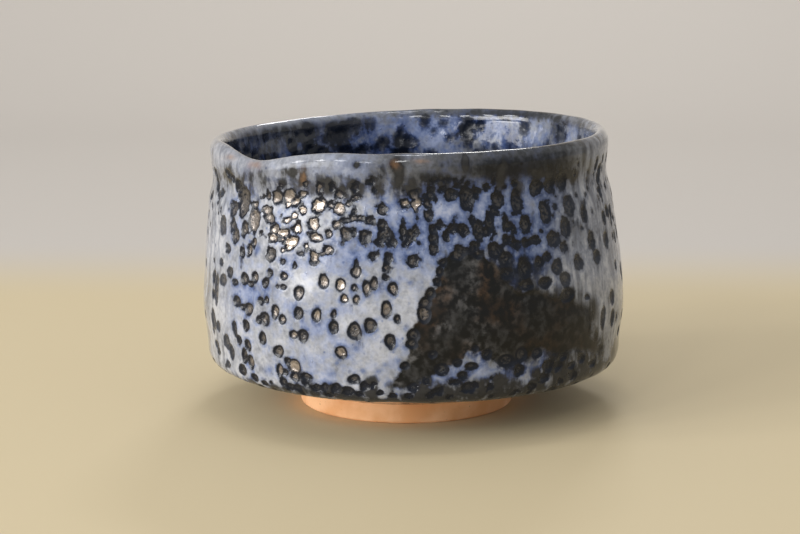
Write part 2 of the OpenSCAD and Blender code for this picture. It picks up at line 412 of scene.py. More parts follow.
PITS_RIGHT = [
    (536, 188, 11, 16), (549, 186, 9, 14), (562, 182, 9, 14), (545, 213, 10, 20), (555, 205, 4, 5),
    (569, 206, 9, 20), (566, 228, 8, 20), (554, 239, 12, 14), (565, 246, 7, 10), (535, 240, 14, 8),
    (548, 256, 8, 7), (539, 263, 8, 10), (557, 268, 9, 14), (565, 280, 9, 14), (546, 282, 11, 11),
    (579, 262, 8, 14), (568, 296, 12, 12), (524, 268, 9, 20), (506, 258, 12, 14), (507, 274, 10, 10),
    (528, 285, 12, 10), (606, 240, 4, 16), (612, 296, 4, 14), (598, 258, 5, 12), (584, 215, 5, 16),
    (592, 240, 5, 18), (587, 298, 4, 5), (604, 318, 4, 22), (613, 318, 3, 16),
]
PITS_BASE = [
    (471, 366, 11, 8), (463, 376, 9, 8), (441, 371, 13, 11), (455, 382, 10, 6), (519, 370, 8, 12),
    (487, 354, 9, 10), (492, 378, 8, 4), (433, 355, 8, 8), (475, 349, 6, 6), (414, 389, 10, 8),
    (426, 382, 6, 6), (438, 392, 12, 8), (469, 389, 24, 11), (490, 386, 14, 6), (492, 396, 16, 5),
    (538, 354, 9, 9), (548, 366, 10, 12), (558, 367, 8, 9), (563, 357, 7, 7), (572, 365, 7, 7),
    (572, 375, 8, 10), (581, 359, 6, 8), (507, 361, 14, 12), (522, 355, 10, 14), (458, 362, 8, 8),
    (545, 377, 16, 9), (532, 386, 14, 7), (560, 381, 12, 6), (592, 364, 12, 8), (430, 397, 14, 5),
    (515, 392, 16, 5), (450, 397, 16, 4),
]
PITS_ROUND_WINDOW = [
    (458, 254, 14, 10), (444, 263, 8, 8), (441, 272, 7, 9), (437, 281, 7, 9), (431, 293, 10, 10),
    (425, 304, 12, 10), (425, 314, 13, 15), (413, 336, 12, 12), (412, 345, 11, 10), (413, 352, 7, 6),
    (404, 366, 8, 8),
]
PITS_APART = [*PITS_LEFT, *PITS_MIDDLE, *PITS_RIGHT, *PITS_ROUND_WINDOW]
PITS_CROWDED = [*PITS_UPPER_RIGHT, *PITS_BASE]
PITS_JOINED = [*PITS_UPPER_LEFT, *PITS_UPPER_MIDDLE]

# Pits inside the bowl, seen through its mouth
PITS_INSIDE = [
    (331, 136, 12, 18), (345, 133, 10, 22), (354, 126, 10, 16), (371, 124, 6, 10), (383, 143, 10, 12),
    (409, 143, 14, 12), (399, 151, 10, 7), (364, 150, 12, 8), (346, 151, 14, 8), (322, 150, 10, 8),
    (308, 133, 8, 22), (424, 122, 6, 12), (451, 137, 8, 6), (433, 131, 5, 5), (443, 124, 6, 5),
]

# Places where the glaze is thin and brown, where it is almost gone, where it is thick, and where it is blue
THIN_SEEN = [
    (256, 178, 36, 24), (291, 173, 20, 14), (303, 179, 11, 26), (284, 184, 18, 14), (328, 185, 22, 18),
    (379, 184, 16, 36), (399, 182, 12, 34), (414, 190, 16, 22), (354, 188, 14, 14), (356, 165, 9, 8),
    (395, 165, 16, 16), (466, 161, 6, 16), (430, 180, 40, 14), (344, 190, 12, 14), (500, 172, 60, 16),
    (550, 174, 60, 20), (224, 178, 18, 22), (525, 272, 50, 40),
    (562, 304, 40, 30), (602, 350, 24, 30), (545, 374, 60, 20), (466, 392, 120, 14), (478, 354, 30, 14),
]
DARK_SEEN = [
    (303, 180, 11, 20), (329, 185, 24, 18), (355, 186, 13, 18), (380, 186, 18, 32), (399, 175, 10, 28),
    (414, 188, 20, 24), (357, 165, 6, 6), (291, 172, 18, 10), (466, 161, 6, 18), (501, 180, 12, 32),
    (518, 188, 12, 26), (341, 191, 12, 14), (540, 174, 26, 12),
    (570, 176, 20, 14), (228, 174, 14, 20), (240, 182, 10, 18),
]
MILKY_SEEN = [
    (222, 312, 24, 44), (382, 358, 44, 36), (432, 208, 40, 14), (392, 212, 30, 10),
]
BLUE_SEEN = [
    (395, 240, 130, 34), (490, 215, 110, 60), (425, 285, 36, 60), (348, 168, 44, 26), (340, 262, 110, 30),
    (540, 250, 70, 80), (480, 372, 90, 26), (250, 292, 60, 24), (372, 290, 60, 26),
    (560, 366, 50, 20), (506, 286, 24, 12), (326, 318, 50, 70),
]
BLUE_SPOTS_SEEN = [
    (257, 250, 7, 11), (404, 257, 6, 5), (406, 328, 6, 7), (353, 253, 7, 5), (332, 374, 9, 6),
    (269, 370, 9, 10), (317, 308, 6, 9), (270, 273, 6, 9), (410, 283, 7, 5), (356, 348, 8, 7),
    (378, 372, 8, 6), (385, 365, 6, 5), (363, 371, 7, 6), (398, 361, 6, 6), (337, 363, 5, 5),
]

# Edge of the window where the iron slip shows through, round it
WINDOW_SEEN = [
    (460, 248), (447, 258), (441, 275), (436, 287), (424, 298), (419, 318), (409, 336), (410, 352),
    (402, 368), (388, 388), (404, 392), (424, 380), (438, 376), (450, 366), (462, 358), (471, 352),
    (485, 354), (494, 362), (510, 368), (526, 362), (540, 352), (556, 356), (578, 352), (600, 356),
    (604, 346), (592, 330), (588, 308), (572, 298), (556, 296), (540, 290), (520, 292), (506, 280),
    (498, 266), (484, 254),
]

# Where the pits' floors are smooth, glossy and metallic. There their colour is also painted pale, a painted
# glint of the window, and away from these places it is painted darker, a painted shade
SHINE_AND_PAINTED_GLINT_SEEN = [
    (303, 205, 100, 60), (292, 240, 90, 50), (330, 300, 170, 70), (300, 350, 120, 60), (414, 206, 30, 20),
]

# Rust where the glaze is thinnest
RUST_SEEN = [
    (230, 157, 15, 8), (254, 164, 19, 12), (303, 178, 8, 18), (395, 164, 10, 12), (421, 161, 18, 6),
    (296, 369, 10, 8),
]

# Pits: how far off they count in mm, how they join, how deep they go and how their edges sway
FAR = 6.0
PIT_JOIN = 0.45
PIT_SOFT = 0.1
PIT_DEPTH = 0.33
PIT_DEEPEST = 0.52
PIT_STEEP = 1.8
PIT_SWAY = 0.06
PIT_SWAY_W = 4.5
PIT_SWAY_SEED = 22
LOBE_SPAN = 6
TWO_LOBES = 0.05
THREE_LOBES = 0.04
DULLEST = 0.2
WIDEST_STRETCH = 1.5
TALLNESS = (0.95, 1.6)
CLEAR_GAP = 0.35
JOINED_GAP = (-0.9, -0.3)

# How far a face turns to the camera before it takes a mark of the photograph
PIT_FACING = 0.05
PIT_LEAST_FACING = 0.2
WINDOW_FACING = 0.02
SPOT_FACING = 0.15

# Unevenness: how many waves make it up, and how their lengths spread
WAVE_COUNT = 24
WAVE_SPREAD = (0.7, 1.4)

Pit = namedtuple("Pit", "angle along half_w half_h lobe tone")


def pits_as_seen(coat, marks, rng, swell=1.0, dullest=DULLEST):
    """Pits of a coat at marks in the photograph, swollen so that crowded ones run together."""
    shown = np.nonzero(coat.facing > PIT_FACING)[0]
    pits = []
    for x, y, width, height in marks:
        near = shown[np.argmin(np.hypot(coat.seen[shown, 0] - x, coat.seen[shown, 1] - y))]
        turned = max(coat.facing[near], PIT_LEAST_FACING)
        half_h = PIT_SOFT + swell * height / coat.px_per_mm[near] / 2
        half_w = PIT_SOFT + swell * width / coat.px_per_mm[near] / 2 / turned
        half_w = min(half_w, WIDEST_STRETCH * half_h)
        lobe = rng.uniform(0, LOBE_SPAN)
        tone = rng.uniform(dullest, 1)
        pits.append(Pit(coat.angle[near], coat.along[near], half_w, half_h, lobe, tone))
    return pits


def pits_scattered(rng, tries, stretch, density, sizes, pits):
    """More pits, strewn over a stretch of the section as densely as asked, clear of those there are."""
    strewn = []
    for _ in range(tries):
        angle = rng.uniform(-math.pi, math.pi)
        along = rng.uniform(*stretch)
        half_w = rng.uniform(*sizes)
        half_h = half_w * rng.uniform(*TALLNESS)
        lobe = rng.uniform(0, LOBE_SPAN)
        tone = rng.uniform()
        if rng.uniform() > density(angle, along):
            continue
        r, _ = section_at(along, 0.0)
        gaps = [
            math.hypot(off_by(angle, p.angle) * r, along - p.along) - half_w - p.half_w
            for p in pits + strewn if abs(along - p.along) < FAR
        ]
        nearest = min(gaps, default=FAR)
        joined = JOINED_GAP[0] * half_w < nearest < JOINED_GAP[1] * half_w
        if nearest > CLEAR_GAP or joined:
            strewn.append(Pit(angle, along, half_w, half_h, lobe, tone))
    return strewn


def pit_field(coat, pits):
    """Distance of a coat's points from the nearest pit's edge, negative within, the pit's random share of
    colour, which later also sets how strong its painted glint is, and its dent.
    """
    rng = np.random.default_rng(PIT_SWAY_SEED)
    sway_across = slow_waves(coat.smooth, rng, PIT_SWAY_W, PIT_SWAY)
    sway_up = slow_waves(coat.smooth, rng, PIT_SWAY_W, PIT_SWAY)
    edge = np.full(len(coat.along), FAR)
    tone = np.zeros(len(coat.along))
    dent = np.zeros(len(coat.along))
    for pit in pits:
        across = off_by(coat.angle, pit.angle) * coat.radius + sway_across
        up = coat.along - pit.along + sway_up
        near = np.nonzero((np.abs(across) < pit.half_w + FAR) & (np.abs(up) < pit.half_h + FAR))[0]
        across = across[near] / pit.half_w
        up = up[near] / pit.half_h
        turn = np.arctan2(up, across)
        wobble = 1 + TWO_LOBES * np.cos(2 * turn + pit.lobe)
        wobble += THREE_LOBES * np.cos(3 * turn + 2 * pit.lobe)
        share = np.hypot(across, up) / wobble
        size = math.sqrt(pit.half_w * pit.half_h)
        away = (share - 1) * size
        before = edge[near]
        tone[near] = np.where(away < before, pit.tone, tone[near])
        depth = min(PIT_DEPTH * size, PIT_DEEPEST)
        dent[near] = np.maximum(dent[near], depth * ease(PIT_STEEP * (1 - share)))
        part = np.clip(0.5 + 0.5 * (before - away) / PIT_JOIN, 0, 1)
        edge[near] = before * (1 - part) + away * part - PIT_JOIN * part * (1 - part)
    return edge, tone, dent


def outline_field(coat, outline):
    """Distance in mm of each point of a coat from an outline in the photograph, negative within it."""
    corners = np.array(outline, float)
    shown = np.nonzero(coat.facing > WINDOW_FACING)[0]
    p = coat.seen[shown]
    nearest = np.full(len(p), math.inf)
    within = np.zeros(len(p), bool)
    for a, b in zip(corners, np.roll(corners, -1, axis=0)):
        side = b - a
        t = np.clip(((p - a) @ side) / (side @ side), 0, 1)
        nearest = np.minimum(nearest, np.linalg.norm(p - a - t[:, None] * side, axis=1))
        if side[1]:
            crosses = (a[1] > p[:, 1]) != (b[1] > p[:, 1])
            within ^= crosses & (p[:, 0] < a[0] + (p[:, 1] - a[1]) / side[1] * side[0])
    field = np.full(len(coat.along), FAR)
    field[shown] = np.clip(np.where(within, -nearest, nearest) / coat.px_per_mm[shown], -FAR, FAR)
    return field


def soft_spots(coat, marks):
    """Strength from 0 to 1 of soft spots at marks in the photograph."""
    strength = np.zeros(len(coat.along))
    for x, y, width, height in marks:
        away = ((coat.seen[:, 0] - x) / (width / 2)) ** 2 + ((coat.seen[:, 1] - y) / (height / 2)) ** 2
        strength = np.maximum(strength, np.exp(-away) * ease(coat.facing / SPOT_FACING))
    return strength


def slow_waves(points, rng, length, height):
    """Gentle unevenness of a hand-made surface, with waves of about a length and a height."""
    total = np.zeros(len(points))
    for _ in range(WAVE_COUNT):
        way = rng.normal(size=3)
        way *= FULL_TURN / (length * rng.uniform(*WAVE_SPREAD)) / np.linalg.norm(way)
        total += np.cos(points @ way + rng.uniform(0, FULL_TURN))
    return total * height / math.sqrt(WAVE_COUNT / 2)


# Finishes

NOISE_MIDDLE = 0.5
CELL_EDGE = 0.02


def paint(red, green, blue):
    """A colour as a screen shows it, from 0 to 255, as the shader takes it."""
    def channel(value):
        share = value / 255
        return share / 12.92 if share <= 0.04045 else ((share + 0.055) / 1.055) ** 2.4

    return (channel(red), channel(green), channel(blue), 1.0)


class Value:
    """A shader socket that adds, subtracts, multiplies and divides as a number does."""

    def __init__(self, finish, socket):
        self.finish = finish
        self.socket = socket

    def sum(self, operation, first, second):
        return self.finish.node("ShaderNodeMath", {"operation": operation}, {0: first, 1: second})

    def __add__(self, other):
        return self.sum("ADD", self, other)

    def __radd__(self, other):
        return self.sum("ADD", other, self)

    def __sub__(self, other):
        return self.sum("SUBTRACT", self, other)

    def __rsub__(self, other):
        return self.sum("SUBTRACT", other, self)

    def __mul__(self, other):
        return self.sum("MULTIPLY", self, other)

    def __rmul__(self, other):
        return self.sum("MULTIPLY", other, self)

    def __truediv__(self, other):
        return self.sum("DIVIDE", self, other)

    def __or__(self, other):
        return self.sum("MAXIMUM", self, other)


class Finish:
    """A material that is put together node by node."""

    def __init__(self, name):
        self.material = bpy.data.materials.new(name)
        self.material.use_nodes = True
        self.tree = self.material.node_tree
        self.face = self.tree.nodes["Principled BSDF"]
        self.place = self.node("ShaderNodeTexCoord", out="Object")

    def node(self, kind, settings=None, sockets=None, out=0):
        made = self.tree.nodes.new(kind)
        for name, value in (settings or {}).items():
            if name == "stops":
                self.set_stops(made.color_ramp.elements, value)
            else:
                setattr(made, name, value)
        for key, value in (sockets or {}).items():
            self.feed(made.inputs[key], value)
        return Value(self, made.outputs[out])

    def set_stops(self, elements, stops):
        while len(elements) < len(stops):
            elements.new(1.0)
        for element, (position, colour) in zip(elements, stops):
            element.position = position
            element.color = colour

    def feed(self, socket, value):
        if isinstance(value, Value):
            self.tree.links.new(value.socket, socket)
        else:
            socket.default_value = value

    def show(self, **sockets):
        for name, value in sockets.items():
            self.feed(self.face.inputs[name.replace("_", " ").title().replace("Ior", "IOR")], value)

    def measure(self, name):
        return self.node("ShaderNodeAttribute", {"attribute_name": name}, out="Fac")

    def step(self, value, low, high):
        """Eases from 0 at low to 1 at high."""
        ends = {0: value, 1: low, 2: high, 3: 0.0, 4: 1.0}
        return self.node("ShaderNodeMapRange", {"interpolation_type": "SMOOTHSTEP"}, ends)

    def mix(self, share, first, second):
        return self.node("ShaderNodeMix", {"data_type": "RGBA"}, {0: share, 6: first, 7: second}, out=2)

    def ramp(self, share, stops):
        return self.node("ShaderNodeValToRGB", {"stops": stops}, {"Fac": share})

    def stretched(self, scale):
        return self.node("ShaderNodeVectorMath", {"operation": "MULTIPLY"}, {0: self.place, 1: scale})

    def grain(self, size, detail, stretch=None):
        """Noise with lumps of about a size in mm."""
        place = self.stretched(stretch) if stretch else self.place
        lumps = {"Vector": place, "Scale": 1 / (size * MM), "Detail": detail}
        return self.node("ShaderNodeTexNoise", {}, lumps)

    def sway(self, noise, height):
        """Noise about 0 instead of its middle, as high as asked."""
        return (noise - NOISE_MIDDLE) * height

    def dots(self, gap, size, share):
        """Soft round dots of a size in mm, in a share of the cells that are as wide as a gap in mm."""
        cell = {"Vector": self.place, "Scale": 1 / (gap * MM)}
        away = self.node("ShaderNodeTexVoronoi", {}, cell, out="Distance")
        kind = self.node("ShaderNodeTexVoronoi", {}, cell, out="Color")
        taken = self.node("ShaderNodeSeparateColor", {}, {0: kind}, out="Red")
        return self.step(away, size / gap, 0.0) * self.step(taken, 1 - share, 1 - share + CELL_EDGE)

    def across(self):
        """Distance to the right of the bowl's axis, in mm."""
        split = self.node("ShaderNodeSeparateXYZ", {}, {0: self.place}, out="X")
        return split / MM

    def bump(self, height):
        """Normal of a face with a height in mm."""
        return self.node("ShaderNodeBump", {}, {"Strength": 1.0, "Distance": MM, "Height": height})


# Colours of the glaze from where it is thinnest, over the iron slip, to where it is thick and milky
BLUE_STOPS = [
    (0.00, paint(17, 23, 36)),
    (0.20, paint(28, 37, 61)),
    (0.45, paint(61, 77, 118)),
    (0.70, paint(107, 121, 156)),
    (0.90, paint(141, 151, 179)),
    (1.00, paint(160, 167, 188)),
]
GREY_STOPS = [
    (0.00, paint(24, 26, 30)),
    (0.20, paint(46, 48, 52)),
    (0.45, paint(86, 88, 93)),
    (0.70, paint(123, 127, 137)),
    (0.90, paint(158, 161, 169)),
    (1.00, paint(177, 179, 186)),
]
PIT_RIM = paint(14, 20, 32)
# Pale peach floor of a pit, largely a painted glint of the window
PIT_MIDDLE_AND_GLINT = paint(206, 192, 180)
PIT_DARK_MIDDLE = paint(54, 55, 58)
SLIP_DARK = paint(11, 13, 16)
SLIP_FLECK = paint(94, 94, 96)
SLIP_WARM = paint(84, 64, 48)
RUST = paint(140, 106, 74)
SMEAR = paint(54, 54, 55)

# Noise in the glaze: the width of its lumps in mm, and how finely they break up
CLOUD = (11.0, 3.0)
REMNANT = (7.0, 5.0)
LUMP = (6.0, 3.0)
SWELL = (5.0, 1.0)
WINDOW_EDGE = (3.0, 5.0)
STREAK = (2.8, 4.0)
STREAK_STRETCH = (1.0, 1.0, 0.22)
MOTTLE = (2.4, 5.0)
FLECK = (2.2, 6.0)
PIT_EDGE = (1.7, 2.0)
FINE = (0.9, 3.0)

# Dots in the glaze: the gap between them and their size in mm, and the share of them that is there
SPECKS = (4.2, 0.9, 0.3)
SMALL_SPECKS = (2.6, 0.6, 0.16)
SPARKLES = (1.4, 0.4, 0.25)

# Where looks come in: in mm down from the crest, then in mm to the right of the axis
LIP_COMES_IN = (11.0, 4.95)
LIP_GLOSS_COMES_IN = (3.5, 2.4)
LIP_THINS_AND_SHADES = (-40.0, 34.0)
LIP_THICKENS = (36.0, 52.0)
VEIL_THICKENS = (38.0, 54.0)
WINDOW_FADES = (18.0, 50.0)
REMNANTS_COME_IN = (34.0, 10.0)

# Thickness of the glaze, from 0 where it is gone to 1 where it is milky
BODY_THICK = 0.93
LIP_THICK = 0.84


def glaze_finish(name, ior):
    """Pale glaze with pits in it. It thins towards the lip, the pits and the window, and is blue there."""
    f = Finish(name)
    right = f.across()
    inside = f.measure("inside")
    veil = f.measure("veil")
    tone = f.measure("tone")
    rust = f.measure("rust")
    cloud = f.grain(*CLOUD)
    streak = f.grain(*STREAK, STREAK_STRETCH)
    mottle = f.grain(*MOTTLE)
    fine = f.grain(*FINE)

    # How far a pit's frayed edge is, and where the glaze is the lip's, blue, specked or dark
    pit = f.measure("pit") + f.sway(fine, 0.5 + inside * 0.9)
    pit = pit + f.sway(f.grain(*PIT_EDGE), f.measure("ragged")) * 2.4
    run = f.measure("run") + f.sway(streak, 8 - inside * 6) + f.sway(mottle, 4 + inside * 8)
    lip = f.step(run, *LIP_COMES_IN)
    blue = f.measure("blue") + f.sway(mottle, 2.4) + f.sway(f.grain(*LUMP), 1.4)
    blue = f.step(blue, 0.0, 1.0)
    near_pit = f.step(pit, 0.35 + blue * 1.1, 0.0)
    specks = f.dots(*SPECKS) | f.dots(*SMALL_SPECKS) | f.measure("spot")
    dark = f.measure("dark") + f.sway(streak, 1.8) + f.sway(mottle, 1.4) + f.sway(fine, 0.7)
    dark = f.step(dark, 0.15, 0.95)

    # Thickness of the glaze
    # The lip's glaze is made darker from left to right: partly thinner glaze, partly painted shade on the
    # side away from the window
    lip_thick = LIP_THICK - f.step(right + f.sway(cloud, 24), *LIP_THINS_AND_SHADES) * 0.59
    lip_thick = lip_thick + f.step(right, *LIP_THICKENS) * 0.5 + f.sway(mottle, 0.6) + f.sway(fine, 0.3)
    thick = BODY_THICK - blue * 0.13 + f.sway(cloud, 0.45 - inside * 0.2)
    thick = thick + f.sway(mottle, 0.9 - inside * 0.2) + f.sway(fine, 0.3)
    thick = thick + (lip_thick - thick) * lip
    patchy = f.step(mottle + streak, 0.78, 1.14)
    # Where the glaze is marked thin it is darker; inside, this includes painted shade at the left
    thick = thick - f.measure("thin") * (0.14 + patchy * 0.66 + inside * 0.3)
    thick = thick - specks * 0.24 - near_pit * (0.06 + blue * 0.22) - dark * 0.4
    streaked = f.step(streak, 0.42, 0.66) * 0.2
    thick = thick + f.measure("milky") * 0.12
    # The painted side reflection also thins and streaks the glaze at the sides, and thickens it again at
    # the far right
    thick = thick - veil * (0.01 + streaked - f.step(right, *VEIL_THICKENS) * 0.05)

    # Colour of the glaze
    blue = (blue | specks | near_pit * 0.18) * (1 - lip * 0.6) * (1 - veil * 0.85) * (1 - dark * 0.6)
    base = f.mix(blue, f.ramp(thick, GREY_STOPS), f.ramp(thick, BLUE_STOPS))
    base = f.mix(dark * (0.2 + mottle * 0.9), base, SMEAR)
    base = f.mix(rust * f.step(mottle + fine * 0.5 + rust * 0.3, 0.6, 1.2) * 0.55, base, RUST)

    # Bare slip in the window, flecked with remnants of glaze, and fading out at the right
    remnant = f.step(f.grain(*REMNANT), 0.42, 0.62) * f.step(right, *REMNANTS_COME_IN)
    fleck = f.step(f.grain(*FLECK), 0.4, 0.7) * (0.25 + remnant * 0.75)
    slip = f.mix(fleck, SLIP_DARK, f.mix(f.step(cloud, 0.42, 0.62), SLIP_FLECK, SLIP_WARM))
    window = f.measure("window") + f.sway(f.grain(*WINDOW_EDGE), 3.0)
    fading = f.step(right, *WINDOW_FADES) * 1.4
    bare = f.step(window, 0.35 + fading, -0.45 - fading)
    base = f.mix(bare, base, slip)

    # Pits, dark round their rims. Their floors are painted pale where a glint of the window falls, a
    # painted highlight, and are dark elsewhere
    in_pit = f.step(pit, 0.24 + inside * 0.8, -0.22 - inside * 0.7)
    in_pit = in_pit * (1 - veil * 0.15) * (1 - inside * 0.26)
    floor = f.step(pit + f.sway(fine, 0.7) - tone * 0.3, -0.7, -1.15) * (1 - inside * 0.7)
    floor = floor * (1 - f.measure("dark") * 0.9) * f.step(fine + tone * 0.5, 0.4, 0.68)
    painted_glint = tone * (0.3 + tone * 0.7 + f.sway(fine, 2.0))
    pit_colour = f.mix(floor, PIT_RIM, f.mix(painted_glint, PIT_DARK_MIDDLE, PIT_MIDDLE_AND_GLINT))
    base = f.mix(in_pit, base, pit_colour)

    # Gloss, and relief in mm that is too fine for the mesh
    gleam = floor * in_pit
    sparkle = f.dots(*SPARKLES) * blue
    gloss = f.step(f.measure("run") - inside * 9, *LIP_GLOSS_COMES_IN)
    swell = f.grain(*SWELL) * (0.12 + lip * 0.1 + inside * 0.8)
    height = swell + f.step(pit, -0.4, 0.15) * (1 - inside) * 0.06 + fine * (0.012 + blue * 0.03)
    height = height + fine * gleam * 0.15 + sparkle * (0.17 + inside * 0.1)
    f.show(
        base_color=base,
        roughness=0.06 + fine * 0.06 + bare * 0.24 + in_pit * 0.14 - gleam * 0.06 + inside * 0.04,
        metallic=gleam * (0.2 + tone * 0.65),
        normal=f.bump(height),
        coat_weight=gloss * 0.8 | sparkle * 0.8,
        coat_roughness=0.05,
        ior=ior,
    )
    return f.material


CLAY_PALE = paint(246, 196, 150)
CLAY_WARM = paint(228, 168, 116)
CLAY_SPECK = paint(96, 62, 38)

# Noise in the clay, as in the glaze
CLAY_CLOUD = (9.0, 4.0)
CLAY_DULL = (3.0, 2.0)
CLAY_SPECKS = (0.9, 2.0)
CLAY_GRIT = (0.8, 3.0)
CLAY_TURNING = (0.5, 2.0)
CLAY_TURNING_STRETCH = (0.15, 0.15, 1.0)


def clay_finish(name):
    """Bare stoneware, warm from the fire, with turning grain and a few dark specks."""
    f = Finish(name)
    base = f.mix(f.step(f.grain(*CLAY_CLOUD), 0.35, 0.7), CLAY_PALE, CLAY_WARM)
    base = f.mix(f.step(f.grain(*CLAY_SPECKS), 0.7, 0.78) * 0.8, base, CLAY_SPECK)
    height = f.grain(*CLAY_GRIT) * 0.06 + f.grain(*CLAY_TURNING, CLAY_TURNING_STRETCH) * 0.05
    f.show(base_color=base, roughness=0.75 + f.grain(*CLAY_DULL) * 0.2, normal=f.bump(height))
    return f.material


# Pieces

# Relief of the glaze, in mm over the finished face
FACE_LEVEL = -0.1
HIGHEST = -0.07
LOWEST = -0.95
LIP_LEVEL = -0.22
LIP_LEVEL_W = 2.5
UNEVEN_W = 14
UNEVEN_H = 0.08
LIP_UNEVEN_H = 0.05
PIT_RIDGE_H = 0.06
PIT_RIDGE_AT = 0.25
PIT_RIDGE_W = 0.35
WINDOW_DEPTH = 0.4
WINDOW_SLOPE_AT = 0.3
WINDOW_SLOPE_W = 1.2

# Relief of the bare clay, in mm
CLAY_UNEVEN_W = 5
CLAY_UNEVEN_H = 0.05
TURNING_H = 0.08
TURNING_RATE = 3.4

# How strongly each coat mirrors
OUTSIDE_IOR = 1.36
LIP_IOR = 1.27
INSIDE_IOR = 1.34

# Pits: how far those at the marks are swollen, and how many are strewn, how large and where
APART_SWELL = 1.14
CROWDED_SWELL = 1.15
JOINED_SWELL = 1.32
JOINED_DULLEST = 0.6
OUTSIDE_TRIES = 2600
OUTSIDE_PITS = (0.8, 1.7)
SMALL_TRIES = 2000
SMALL_PITS = (0.35, 0.75)
INSIDE_TRIES = 1800
INSIDE_PITS = (0.9, 2.2)
OUTSIDE_STRETCH = (AT_LINE + 1, AT_LIP - 1)
INSIDE_STRETCH = (AT_INSIDE + 1, AT_MIDDLE - 12)
FRONT_HALF = math.radians(66)
FRONT_SHARE = 0.2
CREST_CLEAR = 6
PLACED_RUN = 66

OUTSIDE_SEED = 11
LIP_SEED = 12
INSIDE_SEED = 13
CLAY_SEED = 14
MARK_SEED = 21


def level_at_lip(coat, relief):
    """Relief that comes level where the lip's glaze meets the others."""
    away = np.minimum(np.abs(coat.along - AT_LIP), np.abs(coat.along - AT_INSIDE))
    return LIP_LEVEL + (relief - LIP_LEVEL) * ease(away / LIP_LEVEL_W)


def join_to_bowl(piece, slot, *nodes):
    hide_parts(*nodes)
    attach(piece, "root")


# How fast the lip's glaze runs out inside, against outside, and by how much less at the left
INNER_RUN = 2.4
INNER_RUN_LESS = 1.2

# Top of the dark base, and how far it and the window fade, in mm
BASE_TOP = 21
BASE_FADE_W = 5
WINDOW_FADE_W = 5


def mark_glaze(coat, pit, tone, window):
    """Marks where a coat's glaze is thin, blue, dark or rusty, and where shade, glints and side reflections
    are painted on it, by one rule, so that coats meet unseen.
    """
    rng = np.random.default_rng(MARK_SEED)
    x, _, height = coat.smooth.T
    away = AT_CREST - coat.along
    inner_run = INNER_RUN - INNER_RUN_LESS * fade_in(-x, 16, 24)
    run = np.where(away > 0, away, -inner_run * away)
    inside = fade_in(-away, 1, 3)
    under_lip = fade_in(run, 6, 4) * fade_out(run, 22, 14)
    past_left_edge = fade_in(x, -54, 14)
    base_top = BASE_TOP - 1.5 * np.exp(-(((x + 16) / 16) ** 2)) - 5 * fade_in(-x, 24, 14)
    base_top += slow_waves(coat.smooth, rng, 9, 1.5)
    base = ease((base_top - height) / BASE_FADE_W) * (0.05 + 0.95 * past_left_edge)
    by_window = ease(1 - window / WINDOW_FADE_W) * fade_in(x, 14, 8)
    # Grey over the sides turned away from the camera: partly a grey streaky glaze, partly a painted
    # reflection of the room at grazing angles, which greys the blue and softens the pits there
    veil = np.maximum(fade_in(x, 32, 12), fade_in(-x, 46, 8)) * fade_in(coat.facing, -0.7, 0.6)
    blue = 0.28 + 0.55 * under_lip * fade_in(x, -24, 26) + 0.58 * soft_spots(coat, BLUE_SEEN)
    blue += (0.78 - 0.26 * fade_in(x, 6, 20) - blue) * inside + slow_waves(coat.smooth, rng, 24, 0.12)
    thin = np.maximum.reduce([soft_spots(coat, THIN_SEEN), 0.9 * base, 0.85 * by_window])
    # Inside, the glaze is made thinner and darker at the left: partly thin glaze, partly painted shade on
    # the wall that faces away from the window
    thin_and_shade_inside = 0.3 + 0.46 * fade_in(-x, 8, 30) + 0.1 * fade_in(x, 10, 20)
    thin += (thin_and_shade_inside + slow_waves(coat.smooth, rng, 12, 0.15) - thin) * inside
    ragged = np.maximum(fade_in(run, 4, 6) * fade_out(run, 28, 8), 1.3 * base)
    smear = 0.42 * fade_in(run, 5, 3) * fade_out(run, 11, 4) * past_left_edge
    smear *= 1 - 0.45 * fade_in(x, 0, 24)
    marks = {
        "pit": pit,
        # Pits' floors are painted pale, a painted glint, where the window is reflected, and darker
        # elsewhere
        "tone": tone * (0.1 + 0.9 * soft_spots(coat, SHINE_AND_PAINTED_GLINT_SEEN)) * (1 - 0.4 * base),
        "window": window,
        "run": run,
        "ragged": ragged * (1 - inside),
        "inside": inside,
        "veil": veil * (1 - 0.6 * inside),
        "blue": blue,
        "thin": thin,
        "dark": np.maximum.reduce([soft_spots(coat, DARK_SEEN), 0.75 * base, smear]) * (1 - inside),
        "milky": soft_spots(coat, MILKY_SEEN) * (1 - inside),
        "spot": soft_spots(coat, BLUE_SPOTS_SEEN) * (1 - inside),
        "rust": soft_spots(coat, RUST_SEEN) * (1 - inside),
    }
    for name, values in marks.items():
        coat.mark(name, values)


def outside_density(angle, along):
    """Pits lie thickest under the lip and about the hip; in front most of them are listed."""
    run = AT_CREST - along
    in_front = abs(off_by(angle, FRONT)) < FRONT_HALF
    if run <= CREST_CLEAR or (in_front and run < PLACED_RUN):
        return 0.0
    under_lip = fade_in(run, 6, 3) * fade_out(run, 26, 6)
    hip = fade_in(run, 62, 6)
    return (0.16 + 0.84 * max(under_lip, hip)) * (FRONT_SHARE if in_front else 1.0)


def small_density(_, along):
    """Small pits lie in a band under the lip and about the hip, all round."""
    run = AT_CREST - along
    return 0.8 * fade_in(run, 7, 3) * fade_out(run, 22, 8) + 0.4 * fade_in(run, 60, 6)


def inside_density(angle, along):
    """Pits inside lie thickest at the left and near the lip; the many dark pits at the left also paint the
    shade of the wall that faces away from the window.
    """
    run = along - AT_CREST
    right = ease(math.cos(angle) + 0.1)
    return (0.75 - 0.55 * fade_in(run, 25, 40)) * (1 - 0.8 * right) * (run > 4)


